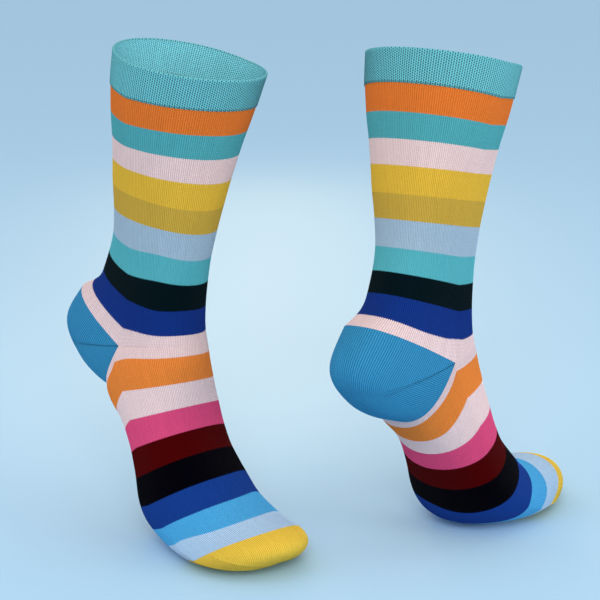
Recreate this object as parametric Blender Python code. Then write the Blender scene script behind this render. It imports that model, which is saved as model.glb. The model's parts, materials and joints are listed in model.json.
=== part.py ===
"""A pair of striped crew socks, filled out as if worn, each standing on its toes.

A sock is knitted in courses, the rings that run once round the leg or the foot. A course
has a front, a side and a back point. Its front half is half an ellipse through them, and
its back half is as full as the section tables say. The tables give a few courses, and
smooth curves give all the others. The heel pocket swings half courses round the hinge line
between the two ankle corners. Every piece is a wall between its outer points and the same
points moved in.

Sizes are millimetres. In a sock's own frame, forward is towards the toes, outward is
away from the other foot, and height counts up from the sole. Knit is a length of
knitting, counted down from the cuff's top edge.
"""

import math

import bmesh
import bpy
import numpy as np

COLLECTION = "pair_of_socks"
METRES = 0.001

# Thickness of the walls, the gap between two pieces at a seam, and how far the doubled
# welt stands out from the leg.
CUFF_WALL = 2.4
TUBE_WALL = 1.4
HEEL_WALL = 1.8
SEAM_GAP = 0.32
CUFF_PROUD = 0.5

# Lengths of knitting.
CUFF_HEIGHT = 20
STRIPE = 16
HALF_ANKLE_STRIPE = 7
LEG_STRIPES = 9
FOOT_STRIPES = 8
HEEL_LINE = CUFF_HEIGHT + LEG_STRIPES * STRIPE + HALF_ANKLE_STRIPE
FOOT_START = HEEL_LINE + HALF_ANKLE_STRIPE
TOE_LINE = FOOT_START + FOOT_STRIPES * STRIPE

# Each row is one measured course: knit, front forward, front height, side forward, side
# height, back forward, back height, half width, the shift outward of its middle, and the
# power of its back half, which is 1 on an ellipse and less where it is fuller.
LEG_SECTIONS = (
    (0, 91, 295, 46, 303, -1, 315, 49.5, 0, 1),
    (CUFF_HEIGHT, 85, 276, 39, 282, -4, 294, 47, 0, 1),
    (52, 75, 245, 31, 251, -6, 260, 40, 0, 1),
    (84, 67, 213, 25, 221, -10, 228, 33, 0, 1),
    (116, 59, 181, 22, 187, -13, 196, 28, 0, 1),
    (148, 55, 148, 20, 152, -23, 168, 26.5, 0, 0.9),
    (164, 56, 132, 17, 133, -33, 156, 27, 0, 0.8),
    (HEEL_LINE, 58, 126, 14, 120, -44, 151, 28, 0, 0.76),
)
FOOT_SECTIONS = (
    (HEEL_LINE, 58, 126, 14, 120, -11, 84, 28, 0, 0.76),
    (FOOT_START, 61, 120, 15, 114, -5, 78, 30, 2, 0.8),
    (194, 63, 105, 24, 95, 5, 68, 31.5, 2, 0.9),
    (210, 64, 89, 32, 77, 13, 58, 33, 0.5, 1),
    (242, 74, 60, 47, 43, 26, 31, 36, -0.5, 1),
    (258, 86, 47, 56, 27, 32, 14, 38.5, -0.5, 1),
    (274, 99, 35, 71, 15, 43, 3.5, 39, 0, 1),
    (290, 118, 27.5, 89, 7, 60, 0, 40, 1.5, 1),
    (TOE_LINE, 136, 25.5, 106, 4, 80, -1.5, 39, 5, 1),
)
# Down the back of the heel pocket, from one heel line to the other: forward, height.
HEEL_BACK = ((-60, 130), (-56, 112), (-36, 94))
# Where the toe closes: forward, outward, height.
TOE_TIP = (145, 7, 5)

# Each row is one sock: its name, 1 if its outward side is its right side, its heading
# anticlockwise from +X, its lean outward in degrees, and how far right of and behind the
# right cuff its own cuff stands.
SOCKS = (
    ("right", 1, -44, -3, 0, 0),
    ("left", -1, 48, 3, 157, 1),
)

POINTS_ROUND = 40
OUTER_CORNER = POINTS_ROUND // 4
INNER_CORNER = 3 * POINTS_ROUND // 4
FINE_STEP = 8
HEEL_ROWS = 9
FOLD_ANGLES = (45, 90, 135)
TOE_ANGLES = (8, 18, 29, 40, 51, 62, 73, 82)
# The heel's half courses all meet at a corner, so they end this share of a step short.
CORNER_PINCH = 0.14

# Each stripe from the cuff down: its name, its colour, and the knit where it ends.
STRIPES = (
    ("teal_welt", "#4FA3AE", CUFF_HEIGHT),
    ("orange", "#D5712C", 36),
    ("teal", "#4AA0AC", 52),
    ("pale_pink", "#DDC9CE", 68),
    ("yellow", "#D3AD3F", 84),
    ("mustard", "#BE9F3F", 100),
    ("pale_blue", "#9CB6D0", 116),
    ("light_teal", "#51ABB8", 132),
    ("green_black", "#08191D", 148),
    ("royal_blue", "#15317D", 164),
    ("ankle_pink", "#DFCAD0", FOOT_START),
    ("instep_orange", "#DA7C36", 194),
    ("instep_pink", "#DFCAD0", 210),
    ("hot_pink", "#CC4B7C", 226),
    ("maroon", "#3E0303", 242),
    ("navy_black", "#020209", 258),
    ("toe_blue", "#14338A", 274),
    ("sky_blue", "#4DA2D8", 290),
    ("pale_sky", "#ABC7DF", TOE_LINE),
    ("toe_yellow", "#E6C54A", 2 * TOE_LINE),
)
HEEL_STRIPES = (("heel_blue", "#3886B8", 2 * TOE_LINE),)
KNIT_ROUGHNESS = 0.9


def smooth_curve(knots, values, places):
    """Reads a natural cubic spline through the rows of values at some places."""
    knots = np.asarray(knots, float)
    values = np.asarray(values, float)
    places = np.asarray(places, float)
    step = np.diff(knots)
    slope = np.diff(values, axis=0) / step[:, None]
    system = np.eye(len(knots))
    target = np.zeros_like(values)
    for i in range(1, len(knots) - 1):
        system[i, i - 1 : i + 2] = step[i - 1], 2 * (step[i - 1] + step[i]), step[i]
        target[i] = 6 * (slope[i] - slope[i - 1])
    bend = np.linalg.solve(system, target)
    cell = np.clip(np.searchsorted(knots, places) - 1, 0, len(step) - 1)
    width = step[cell][:, None]
    before = (places - knots[cell])[:, None]
    after = width - before
    cubic = (bend[cell] * after**3 + bend[cell + 1] * before**3) / (6 * width)
    from_before = (values[cell] / width - bend[cell] * width / 6) * after
    from_after = (values[cell + 1] / width - bend[cell + 1] * width / 6) * before
    return cubic + from_before + from_after


def courses(front, side, back, half_width, outward, back_power, angles):
    """Courses as rows x angles x (forward, outward, height). Angle 0 is the front."""
    ahead = np.cos(angles) > 0
    power = np.where(ahead, 1, back_power[:, None])
    along = np.abs(np.cos(angles)) ** power
    across = np.sign(np.sin(angles)) * np.abs(np.sin(angles)) ** power
    reach = np.where(ahead[:, None], (front - side)[:, None], (back - side)[:, None])
    profile = side[:, None] + along[..., None] * reach
    breadth = outward[:, None] + half_width[:, None] * across
    return np.stack([profile[..., 0], breadth, profile[..., 1]], axis=-1)


def round_angles():
    return np.arange(POINTS_ROUND) * 2 * math.pi / POINTS_ROUND


def tube_courses(sections, knit):
    """Whole courses of a leg or foot at the lengths in knit."""
    table = np.array(sections, float)
    row = smooth_curve(table[:, 0], table[:, 1:], knit)
    front, side, back = row[:, 0:2], row[:, 2:4], row[:, 4:6]
    return courses(front, side, back, *row[:, 6:].T, round_angles())


def toe_courses(last_course):
    """Courses that close the toe, each line of it a quarter of an ellipse to the tip."""
    centre = last_course.mean(axis=0)
    turn = np.radians(TOE_ANGLES)[:, None, None]
    return centre + np.cos(turn) * (last_course - centre) + np.sin(turn) * (TOE_TIP - centre)


def heel_courses():
    """Half courses swung round the ankle corners, from the leg's edge to the foot's."""
    leg_edge = LEG_SECTIONS[-1]
    back = np.array([leg_edge[5:7], *HEEL_BACK, FOOT_SECTIONS[0][5:7]], float)
    back = smooth_curve(np.arange(len(back)), back, np.linspace(0, len(back) - 1, HEEL_ROWS))
    side = np.tile(np.array(leg_edge[3:5], float), (HEEL_ROWS, 1))
    shape = np.tile(np.array(leg_edge[7:], float), (HEEL_ROWS, 1))
    angles = round_angles()[OUTER_CORNER : INNER_CORNER + 1]
    return courses(side, side, back, *shape.T, angles)


def unit(vectors):
    return vectors / np.linalg.norm(vectors, axis=-1, keepdims=True)


def along_rows(grid):
    """The direction of each row of a grid at its points."""
    if grid.shape[1] == POINTS_ROUND:
        return np.roll(grid, -1, axis=1) - np.roll(grid, 1, axis=1)
    return np.gradient(grid, axis=1)


def outward_of(grid):
    """Directions out of a grid whose rows run from the cuff to the toe."""
    return np.cross(np.gradient(grid, axis=0), along_rows(grid))


def match_seams(leg, foot, heel):
    """Gives pieces that meet at the heel lines the same normals along them."""
    back = slice(OUTER_CORNER + 1, INNER_CORNER)
    whole = unit(leg[-1] + foot[0])
    leg_seam = unit(leg[-1, back] + heel[0, 1:-1])
    foot_seam = unit(foot[0, back] + heel[-1, 1:-1])
    leg[-1] = whole
    foot[0] = whole
    leg[-1, back] = leg_seam
    foot[0, back] = foot_seam
    heel[0, 1:-1] = leg_seam
    heel[-1, 1:-1] = foot_seam
    heel[:, 0] = whole[OUTER_CORNER]
    heel[:, -1] = whole[INNER_CORNER]


def pinch_corners(grid):
    """Ends every half course just short of the corner, where they would all meet."""
    pinched = grid.copy()
    pinched[:, 0] += CORNER_PINCH * (grid[:, 1] - grid[:, 0])
    pinched[:, -1] += CORNER_PINCH * (grid[:, -2] - grid[:, -1])
    return pinched


def knit_rows():
    """Lengths of knitting at which the leg and the foot have a course.

    The first is half the welt's wall down, because the fold stands that far above it.
    """
    welt = [CUFF_WALL / 2, CUFF_HEIGHT / 2]
    leg = np.arange(CUFF_HEIGHT, HEEL_LINE, STRIPE)
    ball = FOOT_START + 4 * STRIPE
    instep = np.arange(FOOT_START, ball, STRIPE)
    toes = np.arange(ball, TOE_LINE + 1, FINE_STEP)
    return np.r_[welt, leg, HEEL_LINE], np.r_[HEEL_LINE, instep, toes].astype(float)


def sock_surface():
    """The outer points, normals and knit of the leg with its cuff, the foot and the heel."""
    leg_knit, foot_knit = knit_rows()
    leg = tube_courses(LEG_SECTIONS, leg_knit)
    foot = tube_courses(FOOT_SECTIONS, foot_knit)
    foot = np.concatenate([foot, toe_courses(foot[-1])])
    foot_knit = np.r_[foot_knit, TOE_LINE + np.arange(1, len(TOE_ANGLES) + 1)]
    heel = heel_courses()
    leg_normals = unit(outward_of(leg))
    foot_normals = unit(outward_of(foot))
    heel_normals = heel.copy()
    heel_normals[:, 1:-1] = unit(outward_of(heel)[:, 1:-1])
    heel_knit = np.full(HEEL_ROWS, 1.0)
    match_seams(leg_normals, foot_normals, heel_normals)
    return {
        "leg": (leg, leg_normals, leg_knit),
        "foot": (foot, foot_normals, foot_knit),
        "heel": (pinch_corners(heel), unit(pinch_corners(heel_normals)), heel_knit),
    }


def part_from(points, normals, row, neighbour):
    """Draws one edge row back, square to the seam, by half the seam gap."""
    square = unit(np.cross(normals[row], along_rows(points)[row]))
    towards = np.sum(square * (points[neighbour] - points[row]), axis=-1, keepdims=True)
    points[row] += square * np.sign(towards) * SEAM_GAP / 2


def wall(surface, rows, thickness, proud=0, seams=(True, True), fold=False, tip=False):
    """Points, faces and knit of the wall of some rows of a surface.

    Its cross-section runs up the outer points, over a fold if it has one, and down the
    inner points. A tip closes the last rows.
    """
    points, normals, knit = (part[rows] for part in surface)
    goes_round = points.shape[1] == POINTS_ROUND
    points = points.copy()
    if seams[0]:
        part_from(points, normals, 0, 1)
    if seams[1]:
        part_from(points, normals, -1, -2)
    outer = points + normals * proud
    inner = outer - normals * thickness
    section = list(outer[::-1])
    if fold:
        up = unit(outer[0] - outer[1])
        for angle in np.radians(FOLD_ANGLES):
            rise = up * math.sin(angle) * thickness / 2
            section.append(outer[0] - normals[0] * thickness / 2 * (1 - math.cos(angle)) + rise)
    section += list(inner)
    section_knit = np.r_[knit[::-1], np.full(len(section) - 2 * len(knit), knit[0]), knit]
    end = unit(TOE_TIP - outer[0].mean(axis=0)) if tip else None
    tips = [TOE_TIP, TOE_TIP - end * thickness] if tip else None
    return close_wall(np.array(section), section_knit, goes_round, tips)


def close_wall(section, knit, goes_round, tips):
    """Faces between the neighbouring rows of a wall's cross-section, and over its ends."""
    rows, columns = section.shape[:2]
    index = np.arange(rows * columns).reshape(rows, columns)
    points = section.reshape(-1, 3)
    if goes_round:
        index = np.concatenate([index, index[:, :1]], axis=1)
    if tips is None:
        index = np.concatenate([index, index[:1]])
        knit = np.r_[knit, knit[0]]
    quads = np.stack([index[:-1, :-1], index[:-1, 1:], index[1:, 1:], index[1:, :-1]], axis=-1)
    if tips is None:
        # The last strip is a seam edge, and starting its faces a corner on splits them into
        # the same triangles as the edge that they face.
        quads[-1] = np.roll(quads[-1], -1, axis=-1)
    faces = quads.reshape(-1, 4).tolist()
    face_knit = np.repeat((knit[:-1] + knit[1:]) / 2, quads.shape[1]).tolist()
    if not goes_round:
        for side, step in ((index[:rows, 0], 1), (index[:rows, -1], -1)):
            for i in range(rows // 2 - 1):
                corners = [side[i], side[i + 1], side[rows - 2 - i], side[rows - 1 - i]]
                faces.append(corners[::step])
                face_knit.append(knit[i])
    if tips is not None:
        for row, point in zip((index[0, ::-1], index[-1]), tips):
            faces += [[len(points), row[i], row[i + 1]] for i in range(columns)]
            face_knit += [knit[0]] * columns
            points = np.vstack([points, point])
    return points, faces, face_knit


def placed(points, outer_side, heading, lean):
    """Turns points from a sock's own frame to the pair's, leaning outward and then heading."""
    forward, outward, height = points.T
    roll = math.radians(lean)
    yaw = math.radians(heading)
    outward, height = (
        outward * math.cos(roll) + height * math.sin(roll),
        height * math.cos(roll) - outward * math.sin(roll),
    )
    right = outward * outer_side
    x = forward * math.cos(yaw) + right * math.sin(yaw)
    y = forward * math.sin(yaw) - right * math.cos(yaw)
    return np.stack([x, y, height], axis=-1)


def linear_colour(hex_colour):
    """Turns an sRGB hex colour to linear values with full alpha."""
    channels = [int(hex_colour[i : i + 2], 16) / 255 for i in (1, 3, 5)]
    linear = [c / 12.92 if c <= 0.04045 else ((c + 0.055) / 1.055) ** 2.4 for c in channels]
    return (*linear, 1.0)


def knit_material(name, hex_colour):
    if name in bpy.data.materials:
        return bpy.data.materials[name]
    material = bpy.data.materials.new(name)
    material.use_nodes = True
    shader = material.node_tree.nodes["Principled BSDF"]
    shader.inputs["Base Color"].default_value = linear_colour(hex_colour)
    shader.inputs["Roughness"].default_value = KNIT_ROUGHNESS
    shader.inputs["Metallic"].default_value = 0.0
    material.diffuse_color = linear_colour(hex_colour)
    return material


def add_piece(name, points, faces, face_knit, stripes, collection):
    """Makes one named object, with a material for each stripe that crosses it."""
    mesh = bpy.data.meshes.new(name)
    mesh.from_pydata((points * METRES).tolist(), [], faces)
    ends = [end for _, _, end in stripes]
    crossed = np.searchsorted(ends, face_knit)
    used = sorted(set(crossed.tolist()))
    for i in used:
        mesh.materials.append(knit_material(*stripes[i][:2]))
    mesh.polygons.foreach_set("material_index", [used.index(i) for i in crossed])
    body = bmesh.new()
    body.from_mesh(mesh)
    bmesh.ops.recalc_face_normals(body, faces=body.faces)
    body.to_mesh(mesh)
    body.free()
    mesh.shade_smooth()
    mesh.set_sharp_from_angle(angle=math.radians(40))
    piece = bpy.data.objects.new(name, mesh)
    collection.objects.link(piece)
    return piece


def sock_walls():
    """The five pieces of a sock in its own frame: name, wall and stripes."""
    surface = sock_surface()
    leg_knit = surface["leg"][2]
    foot_knit = surface["foot"][2]
    welt = slice(0, int(np.searchsorted(leg_knit, CUFF_HEIGHT)) + 1)
    leg = slice(welt.stop - 1, None)
    foot = slice(0, int(np.searchsorted(foot_knit, TOE_LINE)) + 1)
    toe = slice(foot.stop - 1, None)
    open_top = (False, True)
    closed_end = (True, False)
    return (
        ("cuff", wall(surface["leg"], welt, CUFF_WALL, CUFF_PROUD, open_top, fold=True), STRIPES),
        ("leg", wall(surface["leg"], leg, TUBE_WALL), STRIPES),
        ("heel", wall(surface["heel"], slice(None), HEEL_WALL), HEEL_STRIPES),
        ("foot", wall(surface["foot"], foot, TUBE_WALL), STRIPES),
        ("toe", wall(surface["foot"], toe, TUBE_WALL, seams=closed_end, tip=True), STRIPES),
    )


def add_sock(row, walls, floor, collection):
    """Places one sock's pieces, its cuff where the row says and its toes on the floor."""
    name, outer_side, heading, lean, right_by, behind_by = row
    pose = (outer_side, heading, lean)
    top = tube_courses(LEG_SECTIONS, [0.0])[0]
    cuff_centre = placed(top.mean(axis=0)[None], *pose)[0]
    lowest = min(placed(points, *pose)[:, 2].min() for _, (points, _, _), _ in walls)
    if floor is None:
        floor = lowest - cuff_centre[2]
    shift = np.array([right_by, behind_by, floor + cuff_centre[2] - lowest]) - cuff_centre
    for piece, (points, faces, face_knit), stripes in walls:
        places = placed(points, *pose) + shift
        add_piece(f"{name}_{piece}", places, faces, face_knit, stripes, collection)
    return floor


def main():
    for item in list(bpy.data.objects):
        bpy.data.objects.remove(item, do_unlink=True)
    collection = bpy.data.collections.new(COLLECTION)
    bpy.context.scene.collection.children.link(collection)
    walls = sock_walls()
    floor = None
    for row in SOCKS:
        floor = add_sock(row, walls, floor, collection)


main()
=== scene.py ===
"""A pair of striped crew socks in fine cotton knit, filled out and standing on their toes.

Every piece is a closed shell of knitted cloth that stands for the solid of the same name.
Its outer face is worked out from the same section tables as the solids, and its stitches
follow a map of the knitting: the first coordinate counts wales, the columns of stitches,
round the sock from the front, and the second is the length of knitting from the cuff's top.
Lengths in the tables are millimetres.
"""

import json
import math
from collections import namedtuple

import bmesh
import bpy
import numpy as np
from bpy.props import FloatProperty, FloatVectorProperty, IntProperty, PointerProperty
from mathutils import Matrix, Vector


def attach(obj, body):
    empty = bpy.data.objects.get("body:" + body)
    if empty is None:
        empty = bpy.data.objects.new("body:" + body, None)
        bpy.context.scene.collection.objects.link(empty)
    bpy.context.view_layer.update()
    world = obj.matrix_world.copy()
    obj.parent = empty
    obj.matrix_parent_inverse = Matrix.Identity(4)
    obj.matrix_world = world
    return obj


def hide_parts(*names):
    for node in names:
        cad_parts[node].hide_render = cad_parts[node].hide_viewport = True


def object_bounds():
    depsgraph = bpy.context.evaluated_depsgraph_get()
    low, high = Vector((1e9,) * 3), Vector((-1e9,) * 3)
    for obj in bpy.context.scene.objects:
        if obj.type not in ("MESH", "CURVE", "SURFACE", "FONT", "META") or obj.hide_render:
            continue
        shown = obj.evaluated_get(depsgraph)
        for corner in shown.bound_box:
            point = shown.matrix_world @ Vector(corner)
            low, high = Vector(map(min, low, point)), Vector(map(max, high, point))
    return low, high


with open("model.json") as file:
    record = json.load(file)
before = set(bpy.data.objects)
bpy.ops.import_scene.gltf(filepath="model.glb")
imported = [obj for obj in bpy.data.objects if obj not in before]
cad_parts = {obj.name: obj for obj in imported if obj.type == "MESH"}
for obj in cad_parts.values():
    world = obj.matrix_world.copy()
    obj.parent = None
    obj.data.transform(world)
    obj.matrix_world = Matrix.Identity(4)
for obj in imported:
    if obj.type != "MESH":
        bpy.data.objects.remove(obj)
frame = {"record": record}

bl_info = {
    "name": "Pair of striped crew socks",
    "version": (1, 0, 0),
    "blender": (4, 5, 0),
    "location": "View3D > Sidebar > Socks",
    "description": "Builds a pair of striped crew socks in fine cotton knit",
    "category": "Object",
}

CAD_BOX = [list(corner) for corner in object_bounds()]
RECORD = frame["record"]
METRES = 0.001

TUBE_WALL = 1.4
HEEL_WALL = 1.8
# The doubled welt stands this far out of the tube below it.
CUFF_PROUD = 0.5
# The welt's fold, pressed by its rib, is a little thinner than the space that it fills.
FOLD = 1.8

CUFF_HEIGHT = 20
STRIPE = 16
HALF_ANKLE_STRIPE = 7
HEEL_LINE = CUFF_HEIGHT + 9 * STRIPE + HALF_ANKLE_STRIPE
FOOT_START = HEEL_LINE + HALF_ANKLE_STRIPE
TOE_LINE = FOOT_START + 8 * STRIPE

# Knit, front forward and height, side forward and height, back forward and height, half
# width, shift outward, and the power of the back half.
LEG_SECTIONS = (
    (0, 91, 295, 46, 303, -1, 315, 49.5, 0, 1),
    (CUFF_HEIGHT, 85, 276, 39, 282, -4, 294, 47, 0, 1),
    (52, 75, 245, 31, 251, -6, 260, 40, 0, 1),
    (84, 67, 213, 25, 221, -10, 228, 33, 0, 1),
    (116, 59, 181, 22, 187, -13, 196, 28, 0, 1),
    (148, 55, 148, 20, 152, -23, 168, 26.5, 0, 0.9),
    (164, 56, 132, 17, 133, -33, 156, 27, 0, 0.8),
    (HEEL_LINE, 58, 126, 14, 120, -44, 151, 28, 0, 0.76),
)
FOOT_SECTIONS = (
    (HEEL_LINE, 58, 126, 14, 120, -11, 84, 28, 0, 0.76),
    (FOOT_START, 61, 120, 15, 114, -5, 78, 30, 2, 0.8),
    (194, 63, 105, 24, 95, 5, 68, 31.5, 2, 0.9),
    (210, 64, 89, 32, 77, 13, 58, 33, 0.5, 1),
    (242, 74, 60, 47, 43, 26, 31, 36, -0.5, 1),
    (258, 86, 47, 56, 27, 32, 14, 38.5, -0.5, 1),
    (274, 99, 35, 71, 15, 43, 3.5, 39, 0, 1),
    (290, 118, 27.5, 89, 7, 60, 0, 40, 1.5, 1),
    (TOE_LINE, 136, 25.5, 106, 4, 80, -1.5, 39, 5, 1),
)
# The welt's inner layer hangs lower than its outer one, down to this length.
INNER_WELT = 30
# Forward and height of the back of the heel between its lines, and forward, outward and
# height of the toe's tip.
HEEL_BACK = ((-60, 130), (-56, 112), (-36, 94))
TOE_TIP = (145, 7, 5)
# The toe's gore lines run on the wale this far round from the front on each side.
TOE_GORE = 40

# Rows of the heel's mesh from the leg to the foot.
HEEL_ROWS = 57
# Along the heel's middle half course, the share of its wales passed at a share of its length.
HEEL_WALES = (
    (0, 0),
    (0.18, 0.135),
    (0.36, 0.28),
    (0.5, 0.5),
    (0.64, 0.72),
    (0.82, 0.865),
    (1, 1),
)
# No wale starts nearer to the hinge than this share of its half course.
HEEL_CORNER = 0.004
# The heel's gore line ends at this share of a half course from the middle of the back.
HEEL_GORE_END = 0.13
# Degrees along the toe's quarter ellipses where its courses lie, short of the tip.
TOE_TURNS = (*np.linspace(0, 86, 34), 88, 89.2)

# The outer side is 1 where outward is to the sock's right. Heading and lean are degrees, and
# the last two say how far to the right and behind the middle of its cuff stands.
Sock = namedtuple("Sock", "name outer_side heading lean right_by behind_by")
SOCKS = (
    Sock("right", 1, -44, -3, 0, 0),
    Sock("left", -1, 48, 3, 157, 1),
)

# Name, colour, and the length of knitting at its end.
STRIPES = (
    ("orange", "#D46F2D", 35),
    ("teal", "#4B9CA6", 51),
    ("pale_pink", "#DCC1C2", 66.5),
    ("yellow", "#D6AC3B", 84),
    ("mustard", "#BE9C3F", 100),
    ("pale_blue", "#99B1C6", 116),
    ("light_teal", "#51A8B5", 131.5),
    ("green_black", "#021218", 148),
    ("royal_blue", "#102F7A", 164),
    ("ankle_pink", "#D9C2C7", FOOT_START),
    ("instep_orange", "#DC7F39", 194),
    ("instep_pink", "#DFC8CD", 210),
    ("hot_pink", "#D0497A", 226),
    ("maroon", "#440002", 242),
    ("navy_black", "#000006", 258),
    ("toe_blue", "#123988", 274),
    ("sky_blue", "#45A1DC", 290),
    ("pale_sky", "#A5C7EA", TOE_LINE),
    ("toe_yellow", "#E2C048", 2 * TOE_LINE),
)
PLAIN_COLOURS = (
    ("welt", "#64B1BD"),
    # The inside of the welt is the welt's yarn, painted paler for the light that comes through it.
    ("welt_inside", "#7FD8EC"),
    ("heel", "#3285B4"),
)

# Name, place, the place that it faces, width and depth in metres, power in watts, and colour
# of each soft light. The pool lights the floor behind the pair.
LIGHTS = (
    ("high", (0.05, -2.2, 1.1), (0.08, 0.0, -0.2), (1.2, 0.9), 30, (1.0, 0.92, 0.82)),
    ("right side", (2.2, -0.9, 0.3), (0.08, 0.0, -0.15), (1.0, 0.6), 16, (1.0, 0.94, 0.87)),
    ("left side", (-2.05, -0.9, 0.3), (0.08, 0.0, -0.15), (1.0, 0.6), 7, (1.0, 0.91, 0.8)),
    ("pool", (0.03, 0.75, -0.05), (0.03, 0.75, -1.0), (0.1, 1.2), 1.2, (1.0, 0.52, 0.22)),
)

# The camera looks along Y, turned down by this many degrees.
CAMERA_PLACE = (0.0678, -1.0951, 0.1113)
CAMERA_PITCH = 13.59
# The floor goes this far each way, in metres.
FLOOR_REACH = 20.0

# The map of the knitting: this many wales, and this many millimetres, to 1.
MAP_WALES = 200
MAP_LENGTH = 400

# Points of the mesh to a wale, millimetres between its rows on a tube, and the steps that a
# quarter of a course is worked out in before its points are spaced evenly.
SAMPLES_A_WALE = 3
ROW_STEP = 2.0
DENSE = 240
# The middle of a wale comes this share of it before a whole number, so that two of its three
# points are on its ridge and one is in the groove beside it.
WALE_LEAD = 1 / 6
# The farthest that the slow unevenness of the cloth carries it.
WAVER = 0.22
# The depth of a hole in the welt's mesh, and the length over which the fold smooths it out.
WELT_DENT = 0.5
WELT_FADE = 1.5
# A distance from a gore line that is past all of its stitches.
PAST_GORE = 20.0
# The toe's gore is a low ridge: its height, how far it spreads, and how near to it the ribs
# start to fade. The rest of the toe's face lies this far under the solid's.
GORE_RIDGE = 0.1
GORE_SPREAD = 1.5
RIB_FADE = 3
TOE_UNDER = 0.08
# Edges that bend by more degrees than this are sharp.
SHARP_ANGLE = 65

# Where the courses run off level, from the cuff to the toe: wale, length of knitting, how
# many wales and millimetres the bump spreads, and how far ahead its peak is, in millimetres.
BENDS = (
    (28, 122, 12, 14, 1.6),
    (28, 150, 14, 12, -2),
    (126, 164, 14, 9, -1.4),
    (150, 164, 5, 10, 1),
    (24, 170, 14, 10, -1),
    (54, FOOT_START, 9, 8, -3.8),
    (120, FOOT_START, 16, 8, 4),
    (160, 192, 14, 16, 2),
    (140, 194, 12, 10, 1.6),
    (86, 260, 22, 16, 6.5),
    (182, 275, 14, 22, 2),
    (134, 277, 17, 9, -6),
    (46, 288, 14, 10, 4.4),
    (170, TOE_LINE, 16, 9, -4),
    (200, TOE_LINE, 26, 9, -4),
)


def linear(hex_colour):
    """Turns an sRGB hex colour to linear red, green and blue."""
    channels = [int(hex_colour[i : i + 2], 16) / 255 for i in (1, 3, 5)]
    return [c / 12.92 if c <= 0.04045 else ((c + 0.055) / 1.055) ** 2.4 for c in channels]


def colour_property(name, hex_colour):
    """A colour that the panel shows, under the name of its knitting."""
    words = name.replace("_", " ")
    return FloatVectorProperty(
        name=words.capitalize(),
        description=f"Colour of the {words} knitting",
        subtype="COLOR",
        size=3,
        min=0,
        max=1,
        default=linear(hex_colour),
    )


class StripeColours(bpy.types.PropertyGroup):
    """One colour for each stripe from the cuff to the toe."""

    __annotations__ = {name: colour_property(name, colour) for name, colour, _ in STRIPES}


class PlainColours(bpy.types.PropertyGroup):
    """Colours of the pieces that have no stripes."""

    __annotations__ = {name: colour_property(name, colour) for name, colour in PLAIN_COLOURS}


class KnitSettings(bpy.types.PropertyGroup):
    """Sizes of the knitting."""

    wales: IntProperty(
        name="Wales round",
        description="Columns of stitches round the sock, which the needles set",
        default=200,
        min=96,
        max=260,
    )
    course: FloatProperty(
        name="Course height",
        description="Height of one row of stitches, in millimetres",
        default=1.25,
        min=0.8,
        max=3,
    )
    ridge: FloatProperty(
        name="Wale ridge",
        description="How far a wale stands out from the groove beside it, in millimetres",
        default=0.16,
        min=0,
        max=0.5,
    )
    dot_pitch: FloatProperty(
        name="Welt hole pitch",
        description="Height of one row of holes in the welt's mesh, in millimetres",
        default=CUFF_HEIGHT / 14,
        min=0.8,
        max=3,
    )


class StageSettings(bpy.types.PropertyGroup):
    """The floor, the lights and the camera."""

    floor: FloatVectorProperty(
        name="Floor",
        description="Colour of the plain floor",
        subtype="COLOR",
        size=3,
        min=0,
        max=1,
        default=linear("#A6CEEC"),
    )
    ambient: FloatProperty(
        name="Ambient light",
        description="Strength of the even light from all round",
        default=0.9,
        min=0,
        max=3,
    )
    lens: FloatProperty(
        name="Lens",
        description="Focal length of the camera, in millimetres",
        default=105.4,
        min=20,
        max=300,
    )


# ---------------------------------------------------------------- surfaces


def smooth_curve(knots, values, places):
    """Reads a natural cubic spline through the rows of values at some places."""
    knots = np.asarray(knots, float)
    values = np.asarray(values, float)
    places = np.asarray(places, float)
    step = np.diff(knots)
    slope = np.diff(values, axis=0) / step[:, None]
    system = np.eye(len(knots))
    target = np.zeros_like(values)
    inner = np.arange(1, len(knots) - 1)
    system[inner, inner - 1] = step[:-1]
    system[inner, inner] = 2 * (step[:-1] + step[1:])
    system[inner, inner + 1] = step[1:]
    target[1:-1] = 6 * np.diff(slope, axis=0)
    bend = np.linalg.solve(system, target)
    cell = np.clip(np.searchsorted(knots, places) - 1, 0, len(step) - 1)
    width = step[cell][:, None]
    before = (places - knots[cell])[:, None]
    after = width - before
    cubic = (bend[cell] * after**3 + bend[cell + 1] * before**3) / (6 * width)
    from_before = (values[cell] / width - bend[cell] * width / 6) * after
    from_after = (values[cell + 1] / width - bend[cell + 1] * width / 6) * before
    return cubic + from_before + from_after


def courses(front, side, back, half_width, outward, back_power, angles):
    """Courses as rows x angles x (forward, outward, height). Angle 0 is the front.

    The front half is half an ellipse, and in the back half the cosine and the sine are
    raised to the back power, which makes it fuller when it is below 1.
    """
    ahead = np.cos(angles) > 0
    power = np.where(ahead, 1, back_power[:, None])
    along = np.abs(np.cos(angles)) ** power
    across = np.sign(np.sin(angles)) * np.abs(np.sin(angles)) ** power
    reach = np.where(ahead[:, None], (front - side)[:, None], (back - side)[:, None])
    profile = side[:, None] + along[..., None] * reach
    breadth = outward[:, None] + half_width[:, None] * across
    return np.stack([profile[..., 0], breadth, profile[..., 1]], axis=-1)


def evenly(rows, places):
    """Points at shares of the length of each row, read along its line."""
    step = np.linalg.norm(np.diff(rows, axis=1), axis=-1)
    length = np.concatenate([np.zeros((len(rows), 1)), np.cumsum(step, axis=1)], axis=1)
    share = length / length[:, -1:]
    places = np.broadcast_to(places, (len(rows), np.shape(places)[-1]))
    found = [
        np.stack([np.interp(place, at, row[:, i]) for i in range(3)], axis=-1)
        for place, at, row in zip(places, share, rows)
    ]
    return np.stack(found)


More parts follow.
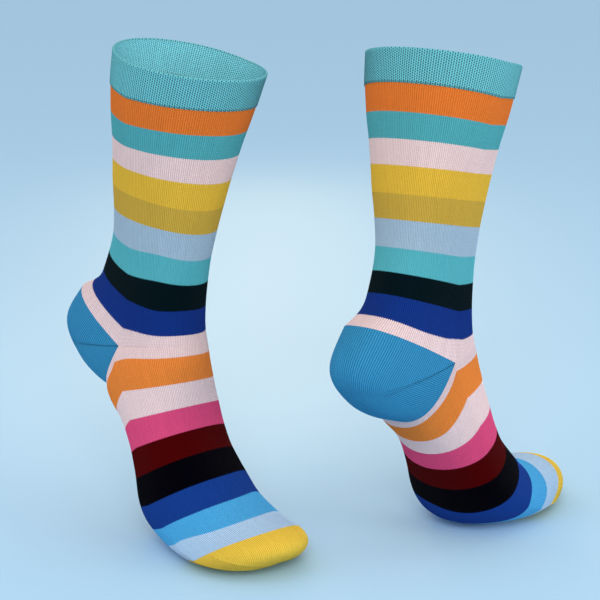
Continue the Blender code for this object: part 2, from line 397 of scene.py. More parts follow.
def quarters(dense, samples):
    """Each quarter of every course cut into equal lengths, so that its wales are even.

    dense holds closed courses from the front round to the front, in four equal stretches.
    """
    size = (dense.shape[1] - 1) // 4
    share = np.arange(samples) / samples
    parts = [evenly(dense[:, i * size : (i + 1) * size + 1], share) for i in range(4)]
    return np.concatenate(parts, axis=1)


def dense_tube(sections, knit):
    """Closed courses at some lengths of knitting, by a spline through a table of sections."""
    table = np.array(sections, float)
    row = smooth_curve(table[:, 0], table[:, 1:], knit)
    angles = np.linspace(0, 2 * math.pi, 4 * DENSE + 1)
    front, side, back = row[:, 0:2], row[:, 2:4], row[:, 4:6]
    return courses(front, side, back, *row[:, 6:].T, angles)


def unit(vectors):
    """Vectors of length 1 in the same directions."""
    return vectors / np.linalg.norm(vectors, axis=-1, keepdims=True)


def normals_of(grid, goes_round):
    """Directions out of a grid whose rows run from the cuff to the toe.

    Each is square to the grid's steps down and round, as their cross product.
    """
    if goes_round:
        along = np.roll(grid, -1, axis=1) - np.roll(grid, 1, axis=1)
    else:
        along = np.gradient(grid, axis=1)
    return unit(np.cross(np.gradient(grid, axis=0), along))


def turned(points, sock):
    """Turns points from a sock's own frame to the pair's, leaning outward and then heading."""
    forward, outward, height = np.moveaxis(points, -1, 0)
    roll = math.radians(sock.lean)
    yaw = math.radians(sock.heading)
    outward, height = (
        outward * math.cos(roll) + height * math.sin(roll),
        height * math.cos(roll) - outward * math.sin(roll),
    )
    right = outward * sock.outer_side
    x = forward * math.cos(yaw) + right * math.sin(yaw)
    y = forward * math.sin(yaw) - right * math.cos(yaw)
    return np.stack([x, y, height], axis=-1)


def placed(points, sock):
    """Carries points from a sock's own frame to its place in the pair.

    The middle of its cuff comes where its row says, at the height of the cuff's mount.
    """
    mouth = next(m for m in RECORD["mounts"] if m["name"] == f"{sock.name}_cuff_mouth")
    top = dense_tube(LEG_SECTIONS, [0.0])[0, :-1]
    middle = turned(top.mean(axis=0), sock)
    target = np.array([sock.right_by, sock.behind_by, mouth["pos_m"][2] / METRES])
    return turned(points, sock) + (target - middle)


def waver(grid):
    """A slow unevenness of the cloth, as a sum of long waves over the surface."""
    x, y, z = np.moveaxis(grid, -1, 0)
    wave = np.sin(0.11 * x + 0.07 * z + 1.3) * np.sin(0.09 * y - 0.05 * z + 0.4)
    ripple = np.sin(0.21 * z + 0.13 * y + 0.6) * np.sin(0.17 * x - 0.08 * z)
    return WAVER * (0.6 * wave + 0.4 * ripple)


# ---------------------------------------------------------------- shells


def quads_between(index):
    """Faces between neighbouring rows and columns of a grid of indices."""
    return np.stack([index[:-1, :-1], index[:-1, 1:], index[1:, 1:], index[1:, :-1]], axis=-1)


def end_strips(index):
    """Faces that close the two ends of rows that don't go round, as ladders across the wall."""
    half = len(index) // 2
    strips = []
    for column, turn in ((0, -1), (-1, 1)):
        pair = np.stack([index[:half, column], index[-half:, column][::-1]], axis=1)
        strips.append(quads_between(pair)[:, :, ::turn].reshape(-1, 4))
    return np.concatenate(strips)


def shell(sock, kind, section, places, outer_rows, goes_round, gore=None, sole_places=None):
    """Makes a closed shell of a sock from the rows of its cross-section.

    section is rows x columns x 3: up the outside to the cuff's side, then down the inside,
    and the first outer_rows of it are the outside. places is the map of the knitting there,
    with one more column where the rows go round. sole_places is the map for the faces of the
    sole, between two gore lines that break it. gore is the distance of each point from a
    gore line. A row whose points are all the same is a tip. A sock that has its outward to
    its right is a mirror image of its table, so its faces are turned over.
    """
    rows, columns = section.shape[:2]
    index = np.arange(rows * columns).reshape(rows, columns)
    spots = np.arange(rows * places.shape[1]).reshape(rows, -1)
    ring = np.concatenate([index, index[:, :1]], axis=1) if goes_round else index
    faces = quads_between(np.concatenate([ring, ring[:1]]))
    corners = quads_between(np.concatenate([spots, spots[:1]]))
    corner_map = places.reshape(-1, 2)[corners]
    if sole_places is not None:
        start = round(columns * TOE_GORE / MAP_WALES)
        sole = slice(start, columns - start)
        corner_map[:, sole] = sole_places.reshape(-1, 2)[corners[:, sole]]
    inside = np.zeros(faces.shape[:2], int)
    inside[outer_rows:] = 1
    faces = faces.reshape(-1, 4)
    corner_map = corner_map.reshape(-1, 4, 2)
    inside = inside.reshape(-1)
    if not goes_round:
        strips = end_strips(index)
        faces = np.concatenate([faces, strips])
        corner_map = np.concatenate([corner_map, places.reshape(-1, 2)[strips]])
        inside = np.concatenate([inside, np.zeros(len(strips), int)])
    points = placed(section, sock).reshape(-1, 3) * METRES
    mesh = new_mesh(f"{sock.name}_{kind}", points, faces, corner_map, inside)
    if gore is not None:
        attribute = mesh.attributes.new("gore", "FLOAT", "POINT")
        attribute.data.foreach_set("value", gore.ravel())
    weld(mesh)
    if sock.outer_side == 1:
        mesh.flip_normals()
    mesh.shade_smooth()
    mesh.set_sharp_from_angle(angle=math.radians(SHARP_ANGLE))
    return mesh


def new_mesh(name, points, faces, corner_map, slots):
    """A mesh of four-sided faces, with its UV map and the material slot of each face."""
    mesh = bpy.data.meshes.new(name)
    mesh.vertices.add(len(points))
    mesh.vertices.foreach_set("co", points.ravel())
    mesh.loops.add(faces.size)
    mesh.loops.foreach_set("vertex_index", faces.ravel())
    mesh.polygons.add(len(faces))
    mesh.polygons.foreach_set("loop_start", np.arange(len(faces)) * 4)
    mesh.polygons.foreach_set("material_index", slots)
    mesh.update(calc_edges=True)
    mesh.uv_layers.new(name="knit").uv.foreach_set("vector", corner_map.ravel())
    return mesh


def weld(mesh):
    """Joins the points of a tip into one, and drops the faces and edges this leaves empty."""
    body = bmesh.new()
    body.from_mesh(mesh)
    bmesh.ops.remove_doubles(body, verts=body.verts, dist=1e-7)
    bmesh.ops.dissolve_degenerate(body, edges=body.edges, dist=1e-8)
    bare = [edge for edge in body.edges if edge.is_wire]
    bmesh.ops.delete(body, geom=bare, context="EDGES")
    body.to_mesh(mesh)
    body.free()


def knit_map(wales, knit):
    """The map of the knitting as rows x columns x 2, in shares of the map's size."""
    wales, knit = np.broadcast_arrays(wales, knit)
    return np.stack([wales / MAP_WALES, knit / MAP_LENGTH], axis=-1)


def add_piece(sock, kind, mesh, outside, inside):
    """Adds a finished shell in its two cloths, hides the solid that it replaces, and attaches it
    to the root body.
    """
    materials = knit_materials()
    mesh.materials.append(materials[outside])
    mesh.materials.append(materials[inside])
    piece = bpy.data.objects.new(f"{sock.name}_{kind}_knit", mesh)
    bpy.context.scene.collection.objects.link(piece)
    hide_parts(f"{sock.name}_{kind}")
    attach(piece, "root")


def wale_numbers(samples):
    """Wales round a whole course, from the front, with the first again at the end."""
    count = 4 * samples
    return np.arange(count + 1) * MAP_WALES / count


def slant(wales, knit):
    """How far the courses run ahead of level, in millimetres.

    A sum of bumps, each a bell curve both round the sock and along it.
    """
    ahead = 0.0
    for middle, length, round_by, along_by, peak in BENDS:
        off = (wales - middle + MAP_WALES / 2) % MAP_WALES - MAP_WALES / 2
        fall = (off / round_by) ** 2 + ((knit - length) / along_by) ** 2
        ahead = ahead + peak * np.exp(-fall)
    return ahead


def rib(wales):
    """How far the cloth lies under the middle of a wale: a cosine wave to each groove."""
    settings = bpy.context.scene.sock_knit
    count = wales * settings.wales / MAP_WALES
    wave = 0.5 + 0.5 * np.cos(2 * math.pi * (count + WALE_LEAD))
    return settings.ridge * wave - settings.ridge


def quarter_samples():
    """Points of the mesh along a quarter of a course."""
    return bpy.context.scene.sock_knit.wales * SAMPLES_A_WALE // 4


def ribbed_tube(sections, knit):
    """A length of tube as a plain grid, the directions out of it, its wales and its outer face.

    The outer face is the grid carried out by the wale's ridge and the waver.
    """
    samples = quarter_samples()
    grid = quarters(dense_tube(sections, knit), samples)
    normals = normals_of(grid, True)
    wales = wale_numbers(samples)
    outer = grid + normals * (rib(wales[:-1]) + waver(grid))[..., None]
    return grid, normals, wales, outer


# ---------------------------------------------------------------- materials

SMOOTH = {"interpolation_type": "SMOOTHSTEP"}


def add(tree, kind, *inputs, sockets=None, **settings):
    """Adds a node with its settings, and gives the first of its outputs that is in use.

    The inputs go to the sockets that are in use, in their order, and sockets holds others by
    name. An output is linked, None is passed over, and anything else is set as a value.
    """
    made = tree.nodes.new("ShaderNode" + kind)
    for key, value in settings.items():
        setattr(made, key, value)
    used = [socket for socket in made.inputs if socket.enabled]
    named = [(made.inputs[key], value) for key, value in (sockets or {}).items()]
    for socket, value in [*zip(used, inputs), *named]:
        if isinstance(value, bpy.types.NodeSocket):
            tree.links.new(value, socket)
        elif value is not None:
            socket.default_value = value
    return next(socket for socket in made.outputs if socket.enabled)


def new_material(name):
    """The empty node tree of a new material."""
    material = bpy.data.materials.new(name)
    material.use_nodes = True
    material.node_tree.nodes.clear()
    return material.node_tree


def stripe_ramp(tree, knit, stripes):
    """The stripes as a ramp of flat colours along the length of knitting."""
    made = add(tree, "ValToRGB", add(tree, "Math", knit, MAP_LENGTH, operation="DIVIDE"))
    ramp = made.node.color_ramp
    ramp.interpolation = "CONSTANT"
    start = 0.0
    for i, (colour, end) in enumerate(stripes):
        element = ramp.elements[0] if i == 0 else ramp.elements.new(start / MAP_LENGTH)
        element.position = start / MAP_LENGTH
        element.color = (*colour, 1)
        start = end
    # A new ramp has an element at its far end, which no stripe uses.
    ramp.elements.remove(ramp.elements[-1])
    return made


def stitch_place(tree):
    """Counts of wales and courses at a point, its length of knitting, and its place across.

    The count of wales is whole in a groove, and the place across is 0 in the middle of a
    wale and 1 in the groove beside it.
    """
    settings = bpy.context.scene.sock_knit
    split = add(tree, "SeparateXYZ", add(tree, "UVMap", uv_map="knit")).node.outputs
    wale = add(tree, "Math", split["X"], settings.wales, WALE_LEAD + 0.5, operation="MULTIPLY_ADD")
    knit = add(tree, "Math", split["Y"], MAP_LENGTH, operation="MULTIPLY")
    course = add(tree, "Math", knit, settings.course, operation="DIVIDE")
    middle = add(tree, "Math", add(tree, "Math", wale, operation="FRACT"), -0.5, operation="ADD")
    across = add(tree, "Math", middle, operation="ABSOLUTE")
    across = add(tree, "Math", across, 2.0, operation="MULTIPLY")
    return wale, course, knit, across


def yarn_tones(tree, wale, course, strength):
    """Uneven yarn, as factors near 1: long streaks down the wales, and a tone of each stitch."""
    slow = add(tree, "Math", course, 0.07, operation="MULTIPLY")
    place = add(tree, "CombineXYZ", wale, slow)
    streak = add(tree, "TexNoise", place, 0.7, 2.0, 0.5, noise_dimensions="2D")
    place = add(tree, "CombineXYZ", wale, course)
    stitch = add(tree, "TexWhiteNoise", add(tree, "VectorMath", place, operation="FLOOR"))
    return [
        add(tree, "MapRange", streak, 0.25, 0.75, 1 - strength, 1 + strength),
        add(tree, "MapRange", stitch, 0.0, 1.0, 1 - 0.7 * strength, 1 + 0.7 * strength),
    ]


def cotton(tree, yarn, tones, height, relief):
    """Finishes a cotton cloth: the yarn's colour times every tone, and the stitches as bumps.

    Combed cotton is matte. Its fuzz gives a little sheen, and lightens the edges.
    """
    tone = 1.0
    for factor in tones:
        tone = add(tree, "Math", tone, factor, operation="MULTIPLY")
    shader = add(
        tree,
        "BsdfPrincipled",
        sockets={
            "Base Color": add(tree, "VectorMath", yarn, tone, operation="SCALE"),
            "Roughness": 0.9,
            "IOR": 1.53,
            "Specular IOR Level": 0.02,
            "Sheen Weight": 0.015,
            "Sheen Roughness": 0.4,
            "Normal": add(tree, "Bump", 1.0, relief * METRES, None, height),
        },
    )
    tree.links.new(shader, tree.nodes.new("ShaderNodeOutputMaterial").inputs["Surface"])


def strand_height(tree, count):
    """How high a strand stands, from 0 at its edges to 1, where its count goes up by 1."""
    part = add(tree, "Math", count, operation="FRACT")
    phase = add(tree, "Math", part, math.pi, operation="MULTIPLY")
    return add(tree, "Math", phase, operation="SINE")


def jersey(name, stripes, depth=1.0, gore=0.0):
    """Plain knitting's face: columns of stitches, each a V of two slanting strands.

    A strand's phase runs down the courses, and half a course down from the middle of a wale
    to its groove, so that strands meet as a V. Its height is the sine of its phase times one
    less the cube of its place across. Painted shade darkens the grooves where two wales meet
    and the gaps between strands, and a painted highlight lightens the middle of each wale;
    depth sets how strong they are.
    """
    tree = new_material(name)
    wale, course, knit, across = stitch_place(tree)
    strand = strand_height(tree, add(tree, "Math", across, -0.5, course, operation="MULTIPLY_ADD"))
    fall = add(tree, "Math", across, 3.0, operation="POWER")
    fall = add(tree, "Math", 1.0, fall, operation="SUBTRACT")
    crown = add(tree, "Math", strand, 0.5, 0.5, operation="MULTIPLY_ADD")
    height = add(tree, "Math", crown, fall, operation="MULTIPLY")
    step = bpy.context.scene.sock_knit.course
    jagged = add(tree, "Math", across, -0.5 * step, knit, operation="MULTIPLY_ADD")
    # Painted shade in the grooves between wales and between strands, and a painted highlight down
    # the middle of each wale.
    groove = add(tree, "MapRange", across, 0.4, 1.0, 1.0, 1 - 0.3 * depth, **SMOOTH)
    crown_highlight = add(tree, "MapRange", across, 0.0, 0.6, 1 + 0.1 * depth, 1.0, **SMOOTH)
    between = add(tree, "MapRange", strand, 0.0, 0.7, 1 - 0.22 * depth, 1.0, **SMOOTH)
    tones = [groove, crown_highlight, between, *yarn_tones(tree, wale, course, 0.035)]
    if gore:
        height = gore_line(tree, tones, height, wale, gore)
    cotton(tree, stripe_ramp(tree, jagged, stripes), tones, height, 0.35)


def gore_line(tree, tones, height, wale, strength):
    """Holes and lifted stitches by turns, where the two halves of a turned pocket meet.

    Turns follow the sine of the count of wales, and both fade out with the distance from
    the line. The holes are darkened with painted shade, and the lifted stitches are
    lightened with a painted highlight.
    """
    away = add(tree, "Attribute", attribute_name="gore").node.outputs["Fac"]
    turn = add(tree, "Math", wale, 2 * math.pi, operation="MULTIPLY")
    beat = add(tree, "Math", turn, operation="SINE")
    near = add(tree, "MapRange", away, 0.5, 1.1, 1.0, 0.0, **SMOOTH)
    gap = add(tree, "MapRange", beat, -0.1, 0.5, **SMOOTH)
    hole = add(tree, "Math", near, gap, operation="MULTIPLY")
    beside = add(tree, "MapRange", away, 0.9, 1.7, 1.0, 0.0, **SMOOTH)
    bar = add(tree, "MapRange", beat, 0.1, -0.5, **SMOOTH)
    lifted = add(tree, "Math", beside, bar, operation="MULTIPLY")
    # Painted shade in the holes and a painted highlight on the lifted stitches.
    tones.append(add(tree, "Math", hole, -0.6 * strength, 1.0, operation="MULTIPLY_ADD"))
    tones.append(add(tree, "Math", lifted, 0.16 * strength, 1.0, operation="MULTIPLY_ADD"))
    height = add(tree, "Math", hole, -strength, height, operation="MULTIPLY_ADD")
    return add(tree, "Math", lifted, 0.6 * strength, height, operation="MULTIPLY_ADD")


def reverse_jersey(name, stripes):
    """Plain knitting's back, which shows rows of rounded purl bumps along the courses, with
    painted shade between them.
    """
    tree = new_material(name)
    wale, course, knit, across = stitch_place(tree)
    height = strand_height(tree, add(tree, "Math", across, 0.35, course, operation="MULTIPLY_ADD"))
    # Painted shade darkens the cloth between the purl bumps.
    between = add(tree, "MapRange", height, 0.0, 0.8, 0.62, 1.0, **SMOOTH)
    tones = [between, *yarn_tones(tree, wale, course, 0.04)]
    cotton(tree, stripe_ramp(tree, knit, stripes), tones, height, 0.3)


def welt_mesh(name, colour, holes, dashes):
    """The doubled welt's fine mesh: a hole in every wale of every row, by turns half a row down.

    The cloth's tone follows its distance from the centre of the nearest hole, as the root of
    the sum of the squares across and along, and is the share in holes in its middle: painted
    shade in the holes. The columns of holes also get painted shade, and the yarn between them
    a painted highlight. The fold at the top is drawn flat, with no holes, and the last course
    is a line of dashes, darker by the share in dashes.
    """
    tree = new_material(name)
    wale, course, knit, across = stitch_place(tree)
    settings = bpy.context.scene.sock_knit
    odd = add(tree, "Math", wale, operation="FLOOR")
    odd = add(tree, "Math", odd, 2.0, operation="FLOORED_MODULO")
    row = add(tree, "Math", knit, settings.dot_pitch, operation="DIVIDE")
    row = add(tree, "Math", odd, 0.5, row, operation="MULTIPLY_ADD")
    rise = add(tree, "Math", add(tree, "Math", row, operation="FRACT"), -0.5, operation="ADD")
    rise = add(tree, "Math", rise, 2.0, operation="MULTIPLY")
    reach = add(tree, "VectorMath", add(tree, "CombineXYZ", across, rise), operation="LENGTH")
    mesh = add(tree, "MapRange", reach, 0.3, 0.85, **SMOOTH)
    flat = add(tree, "MapRange", knit, 0.2, 0.8, 0.9, 0.0, **SMOOTH)
    height = add(tree, "Math", mesh, flat, operation="MAXIMUM")
    # Painted shade down the columns of holes and a painted highlight on the yarn between them.
    column = add(tree, "MapRange", across, 0.2, 0.8, 0.78, 1.12, **SMOOTH)
    column = add(tree, "Math", column, flat, operation="MAXIMUM")
    low = CUFF_HEIGHT - settings.course
    last = add(tree, "MapRange", knit, low - 0.25, low + 0.25, **SMOOTH)
    dash = add(tree, "MapRange", odd, 0.0, 1.0, 0.35, 1.0)
    edge = add(tree, "Math", last, dash, operation="MULTIPLY")
    # The holes are darkened with painted shade.
    tones = [
        add(tree, "MapRange", height, 0.0, 1.0, holes, 1.0),
        column,
        add(tree, "Math", edge, -dashes, 1.0, operation="MULTIPLY_ADD"),
        *yarn_tones(tree, wale, course, 0.04),
    ]
    cotton(tree, tuple(colour), tones, height, 0.45)


def knit_materials():
    """The knitted cloths, made once for both socks."""
    if "cotton welt mesh" in bpy.data.materials:
        return bpy.data.materials
    plain = bpy.context.scene.sock_plain
    colours = bpy.context.scene.sock_stripes
    stripes = [(getattr(colours, name), end) for name, _, end in STRIPES]
    heel_only = [(plain.heel, MAP_LENGTH)]
    # Striped jersey is fine cotton on a fine machine, so its grooves hardly show, and their
    # painted shade is kept light.
    jersey("cotton jersey in stripes", stripes, depth=0.65)
    jersey("cotton jersey in stripes at the toe", stripes, depth=1.0, gore=0.12)
    # A heel has a second yarn knitted in for wear, and its wales stand out as ribs, so it gets
    # deeper painted shade in its grooves and a brighter painted highlight on its wales.
    jersey("thick cotton heel jersey", heel_only, depth=1.3, gore=1.0)
    reverse_jersey("reverse of striped jersey", [(plain.welt, INNER_WELT), *stripes])
    reverse_jersey("reverse of heel jersey", heel_only)
    welt_mesh("cotton welt mesh", plain.welt, 0.4, 0.5)
    # The inside is the same yarn as the outside, painted paler for the light that comes through
    # its single layer.
    welt_mesh("cotton welt mesh inside", plain.welt_inside, 0.7, 0.0)
    return bpy.data.materials


# ---------------------------------------------------------------- pieces


def rows_between(low, high, step):
    """Lengths of knitting from low to high, evenly spaced and no farther apart than a step."""
    return np.linspace(low, high, int(math.ceil((high - low) / step)) + 1)


def cuff(sock):
    """A doubled welt: the outer face, a half-round fold over the top, and the inner face.

    Its holes are dents in both faces: a cosine wave round the sock times one along it, by
    turns half a row down. The fold's wall is half a circle about the middle of its thickness.
    """
    settings = bpy.context.scene.sock_knit
    radius = FOLD / 2
    knit = rows_between(radius, CUFF_HEIGHT, settings.dot_pitch / 3)
    grid, normals, wales, _ = ribbed_tube(LEG_SECTIONS, knit)
    wale = wales[:-1] * settings.wales / MAP_WALES + WALE_LEAD
    row = knit[:, None] / settings.dot_pitch + 0.5 * (np.floor(wale) % 2)
    along = 0.5 + 0.5 * np.cos(2 * math.pi * (row - 0.5))
    across = 0.5 - 0.5 * np.cos(2 * math.pi * wale)
    fade = np.clip((knit - radius) / WELT_FADE, 0, 1)[:, None]
    dent = (WELT_DENT * along * across * fade)[..., None]
    face = grid + normals * (CUFF_PROUD + waver(grid))[..., None]
    outer = face - normals * dent
    inner = face - normals * (FOLD - dent)
    up = unit(face[0] - face[2])
    turn = np.radians(np.arange(20, 180, 20))[:, None, None]
    middle = face[0] - normals[0] * radius
    fold = middle + (normals[0] * np.cos(turn) + up * np.sin(turn)) * radius
    fold_knit = radius * np.abs(np.cos(turn[:, 0, 0]))
    section = np.concatenate([outer[::-1], fold, inner])
    section_knit = np.r_[knit[::-1], fold_knit, knit][:, None]
    places = knit_map(wales, section_knit)
    mesh = shell(sock, "cuff", section, places, len(section) - len(inner), True)
    add_piece(sock, "cuff", mesh, "cotton welt mesh", "cotton welt mesh inside")


def thinned(rows, step):
    """Every few of some rows, and the last, for an inner face that shows less."""
    return np.unique(np.r_[0:rows:step, rows - 1])


def tube(sock, kind, sections, low, high):
    """A plain length of the sock, with its face outside and its back inside."""
    knit = rows_between(low, high, ROW_STEP)
    grid, normals, wales, outer = ribbed_tube(sections, knit)
    pick = thinned(len(knit), 4)
    inner = (grid + normals * (waver(grid)[..., None] - TUBE_WALL))[pick]
    section = np.concatenate([outer[::-1], inner])
    section_knit = np.r_[knit[::-1], knit[pick]][:, None]
    places = knit_map(wales, section_knit + slant(wales, section_knit))
    mesh = shell(sock, kind, section, places, len(knit), True)
    add_piece(sock, kind, mesh, "cotton jersey in stripes", "reverse of striped jersey")


def lengths_down(grid):
    """The length down each column of a grid to each of its rows."""
    step = np.linalg.norm(np.diff(grid, axis=0), axis=-1)
    return np.concatenate([np.zeros((1, grid.shape[1])), np.cumsum(step, axis=0)])


def heel_shares(wales):
    """How far along each half course of the heel its wales lie, as shares of its length.

    Wales are even on the two heel lines, and follow a spline through HEEL_WALES on the
    middle half course. Between them the two are mixed by the square of the way there.
    """
    lengths = np.linspace(0, 1, 401)
    table = np.array(HEEL_WALES, float)
    squeezed = smooth_curve(table[:, 0], table[:, 1:], lengths)[:, 0]
    way = 1 - np.abs(2 * np.linspace(0, 1, HEEL_ROWS) - 1)
    weight = way[:, None] ** 2
    passed = (1 - weight) * lengths + weight * squeezed
    shares = np.stack([np.interp(wales, row, lengths) for row in passed])
    return np.clip(shares, HEEL_CORNER, 1 - HEEL_CORNER)


def heel(sock):
    """A pocket of half courses swung round the hinge between the two ankle corners.

    Wales leave each heel line square to it and are cut off at the gore line, half way
    between the lines, where the lengths of knitting from both meet.
    """
    edge = LEG_SECTIONS[-1]
    back = np.array([edge[5:7], *HEEL_BACK, FOOT_SECTIONS[0][5:7]], float)
    back = smooth_curve(np.arange(len(back)), back, np.linspace(0, len(back) - 1, HEEL_ROWS))
    side = np.tile(np.array(edge[3:5], float), (HEEL_ROWS, 1))
    shape = np.tile(np.array(edge[7:], float), (HEEL_ROWS, 1))
    angles = np.linspace(math.pi / 2, 3 * math.pi / 2, 4 * DENSE + 1)
    share = heel_shares(np.linspace(0, 1, 2 * quarter_samples() + 1))
    grid = evenly(courses(side, side, back, *shape.T, angles), share)
    # The last wales at each end lie too close together, and take the direction beside them.
    normals = normals_of(grid[:, 2:-2], False)[:, 1:-1]
    normals = np.pad(normals, ((0, 0), (3, 3), (0, 0)), mode="edge")
    wales = MAP_WALES / 4 + np.linspace(0, MAP_WALES / 2, grid.shape[1])
    outer = grid + normals * (rib(wales) + waver(grid))[..., None]
    pick = thinned(HEEL_ROWS, 4)
    inner = (grid + normals * (waver(grid)[..., None] - HEEL_WALL))[pick]
    section = np.concatenate([outer[::-1], inner])

    length = lengths_down(grid)
    whole = length[-1]
    knit = np.where(length < whole / 2, length, whole - length) + HEEL_LINE
    places = knit_map(wales, np.concatenate([knit[::-1], knit[pick]]))
    on_back = np.abs(share - 0.5) < HEEL_GORE_END
    gore = np.where(on_back, PAST_GORE, np.abs(length - whole / 2))
    gore = np.concatenate([gore[::-1], np.full(inner.shape[:2], PAST_GORE)])
    mesh = shell(sock, "heel", section, places, HEEL_ROWS, False, gore)
    add_piece(sock, "heel", mesh, "thick cotton heel jersey", "reverse of heel jersey")


def toe(sock):
    """A pocket that closes the foot, each line of it a quarter of an ellipse to the tip.

    Wales run straight ahead from the toe line and are cut off at a gore line down each
    side, so a wale's number follows from how far across the toe it lies. The gore is a low
    ridge, where the ribs fade out.
    """
    samples = quarter_samples()
    turn = np.radians(TOE_TURNS)[:, None, None]
    start = quarters(dense_tube(FOOT_SECTIONS, [TOE_LINE - ROW_STEP, TOE_LINE]), samples)
    centre = start[1].mean(axis=0)
    grid = centre + np.cos(turn) * (start[1] - centre) + np.sin(turn) * (TOE_TIP - centre)
    normals = normals_of(np.concatenate([start[:1], grid]), True)[1:]
    end = len(grid)

    # The number of a wale at each place, as the top counts them and as the sole does.
    wales = wale_numbers(samples)
    half = MAP_WALES / 2
    shrink = np.cos(turn[:, :, 0])
    top = np.where(wales > half, MAP_WALES - (MAP_WALES - wales) * shrink, wales * shrink)
    sole = half + (wales - half) * shrink
    below = (wales > TOE_GORE) & (wales < MAP_WALES - TOE_GORE)
    number = np.where(below, sole, top)[:, :-1]
    wales_away = np.abs(np.minimum(wales, MAP_WALES - wales)[:-1] - TOE_GORE)
    spacing = np.linalg.norm(np.roll(grid, -1, axis=1) - grid, axis=-1)
    gore = wales_away * spacing * 4 * samples / MAP_WALES
    ridge = GORE_RIDGE * np.exp(-((gore / GORE_SPREAD) ** 2)) - TOE_UNDER
    lift = ridge + rib(number) * np.clip(gore / RIB_FADE, 0, 1) + waver(grid)
    outer = grid + normals * lift[..., None]
    pick = thinned(end, 3)
    inner = (grid + normals * (waver(grid)[..., None] - TUBE_WALL))[pick]
    outer_tip = np.broadcast_to(TOE_TIP, outer[:1].shape)
    inner_tip = outer_tip - unit(TOE_TIP - centre) * TUBE_WALL
    section = np.concatenate([outer_tip, outer[::-1], inner, inner_tip])

    knit = TOE_LINE + lengths_down(grid)
    knit = np.concatenate([knit, np.full_like(knit[:1], knit[-1].mean())])
    knit = knit + slant(wales[:-1], knit)
    rows = np.r_[end, np.arange(end)[::-1], pick, end]
    section_knit = knit[rows]
    section_knit = np.concatenate([section_knit, section_knit[:, :1]], axis=1)
    rows = np.minimum(rows, end - 1)
    gore = gore[rows]
    gore[end + 1 :] = PAST_GORE
    places = [knit_map(number[rows], section_knit) for number in (top, sole)]
    mesh = shell(sock, "toe", section, places[0], end + 1, True, gore, places[1])
    outside = "cotton jersey in stripes at the toe"
    add_piece(sock, "toe", mesh, outside, "reverse of striped jersey")


# ---------------------------------------------------------------- operators


class SOCKS_OT_cuffs(bpy.types.Operator):
    """Knit the two doubled welts"""

    bl_idname = "socks.cuffs"
    bl_label = "Cuffs"

    def execute(self, context):
        for sock in SOCKS:
            cuff(sock)
        return {"FINISHED"}


class SOCKS_OT_legs(bpy.types.Operator):
    """Knit the striped legs, from the welt to the heel line"""

    bl_idname = "socks.legs"
    bl_label = "Legs"

    def execute(self, context):
        for sock in SOCKS:
            tube(sock, "leg", LEG_SECTIONS, CUFF_HEIGHT, HEEL_LINE)
        return {"FINISHED"}


class SOCKS_OT_heels(bpy.types.Operator):
    """Knit the turned heels"""

    bl_idname = "socks.heels"
    bl_label = "Heels"

    def execute(self, context):
        for sock in SOCKS:
            heel(sock)
        return {"FINISHED"}


class SOCKS_OT_feet(bpy.types.Operator):
    """Knit the striped feet, from the heel line to the toe line"""

    bl_idname = "socks.feet"
    bl_label = "Feet"

    def execute(self, context):
        for sock in SOCKS:
            tube(sock, "foot", FOOT_SECTIONS, HEEL_LINE, TOE_LINE)
        return {"FINISHED"}


class SOCKS_OT_toes(bpy.types.Operator):
    """Knit the toes and close them"""

    bl_idname = "socks.toes"
    bl_label = "Toes"

    def execute(self, context):
        for sock in SOCKS:
            toe(sock)
        return {"FINISHED"}


def soft_light(name, place, target, size, power, colour):
    """A rectangular soft light that faces its target, and that the camera doesn't see."""
    light = bpy.data.lights.new(name, "AREA")
    light.shape = "RECTANGLE"
    light.size, light.size_y = size
    light.energy = power
    light.color = colour
    lamp = bpy.data.objects.new(name, light)
    bpy.context.scene.collection.objects.link(lamp)
    lamp.location = place
    lamp.rotation_mode = "QUATERNION"
    lamp.rotation_quaternion = (Vector(target) - Vector(place)).to_track_quat("-Z", "Y")
    lamp.visible_camera = False


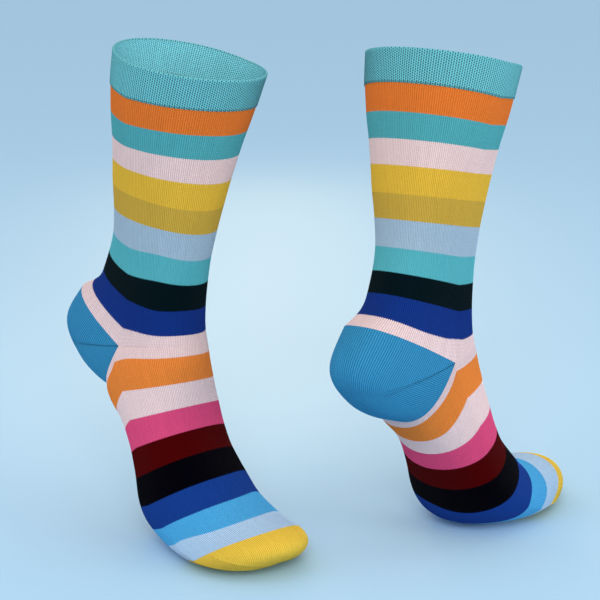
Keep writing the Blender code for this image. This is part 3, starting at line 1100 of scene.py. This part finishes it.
class SOCKS_OT_stage(bpy.types.Operator):
    """Set up the plain floor, the soft lights and the camera"""

    bl_idname = "socks.stage"
    bl_label = "Stage"

    def execute(self, context):
        settings = context.scene.sock_stage
        floor = CAD_BOX[0][2]
        mesh = bpy.data.meshes.new("floor")
        corners = [(-1, -1), (1, -1), (1, 1), (-1, 1)]
        points = [(x * FLOOR_REACH, y * FLOOR_REACH, floor) for x, y in corners]
        mesh.from_pydata(points, [], [(0, 1, 2, 3)])
        ground = bpy.data.objects.new("floor", mesh)
        context.scene.collection.objects.link(ground)
        # Backdrop paper is matte, so it takes soft shadows and gives no reflections.
        tree = new_material("pale matte backdrop paper")
        shader = add(tree, "BsdfPrincipled", (*settings.floor, 1), None, 0.95)
        shader.node.inputs["Specular IOR Level"].default_value = 0.1
        output = tree.nodes.new("ShaderNodeOutputMaterial")
        tree.links.new(shader, output.inputs["Surface"])
        mesh.materials.append(bpy.data.materials["pale matte backdrop paper"])

        world = bpy.data.worlds.new("soft studio")
        context.scene.world = world
        world.use_nodes = True
        sky = world.node_tree.nodes["Background"]
        sky.inputs["Color"].default_value = (1.0, 0.97, 0.94, 1)
        sky.inputs["Strength"].default_value = settings.ambient
        for light in LIGHTS:
            soft_light(*light)
        # Cloth colours show as they are named, with no film curve over them.
        context.scene.view_settings.view_transform = "Standard"

        lens = bpy.data.cameras.new("camera")
        lens.lens = settings.lens
        lens.sensor_width = 36
        lens.clip_end = 100
        camera = bpy.data.objects.new("camera", lens)
        context.scene.collection.objects.link(camera)
        camera.location = CAMERA_PLACE
        camera.rotation_euler = (math.radians(90 - CAMERA_PITCH), 0, 0)
        context.scene.camera = camera
        return {"FINISHED"}


class SOCKS_PT_panel(bpy.types.Panel):
    """The steps that build the pair, in order"""

    bl_idname = "SOCKS_PT_panel"
    bl_label = "Striped crew socks"
    bl_space_type = "VIEW_3D"
    bl_region_type = "UI"
    bl_category = "Socks"

    def draw(self, context):
        for operator in OPERATORS:
            self.layout.operator(operator.bl_idname)
        for group, _ in GROUPS:
            settings = getattr(context.scene, group)
            box = self.layout.box()
            for name in settings.__annotations__:
                box.prop(settings, name)


OPERATORS = (
    SOCKS_OT_stage,
    SOCKS_OT_cuffs,
    SOCKS_OT_legs,
    SOCKS_OT_heels,
    SOCKS_OT_feet,
    SOCKS_OT_toes,
)
GROUPS = (
    ("sock_knit", KnitSettings),
    ("sock_plain", PlainColours),
    ("sock_stripes", StripeColours),
    ("sock_stage", StageSettings),
)


def register():
    for name, group in GROUPS:
        bpy.utils.register_class(group)
        setattr(bpy.types.Scene, name, PointerProperty(type=group))
    for item in (*OPERATORS, SOCKS_PT_panel):
        bpy.utils.register_class(item)


def unregister():
    for item in (SOCKS_PT_panel, *reversed(OPERATORS)):
        bpy.utils.unregister_class(item)
    for name, group in reversed(GROUPS):
        delattr(bpy.types.Scene, name)
        bpy.utils.unregister_class(group)


def main():
    register()
    for step in ("stage", "cuffs", "legs", "heels", "feet", "toes"):
        getattr(bpy.ops.socks, step)()


if __name__ == "__main__":
    main()
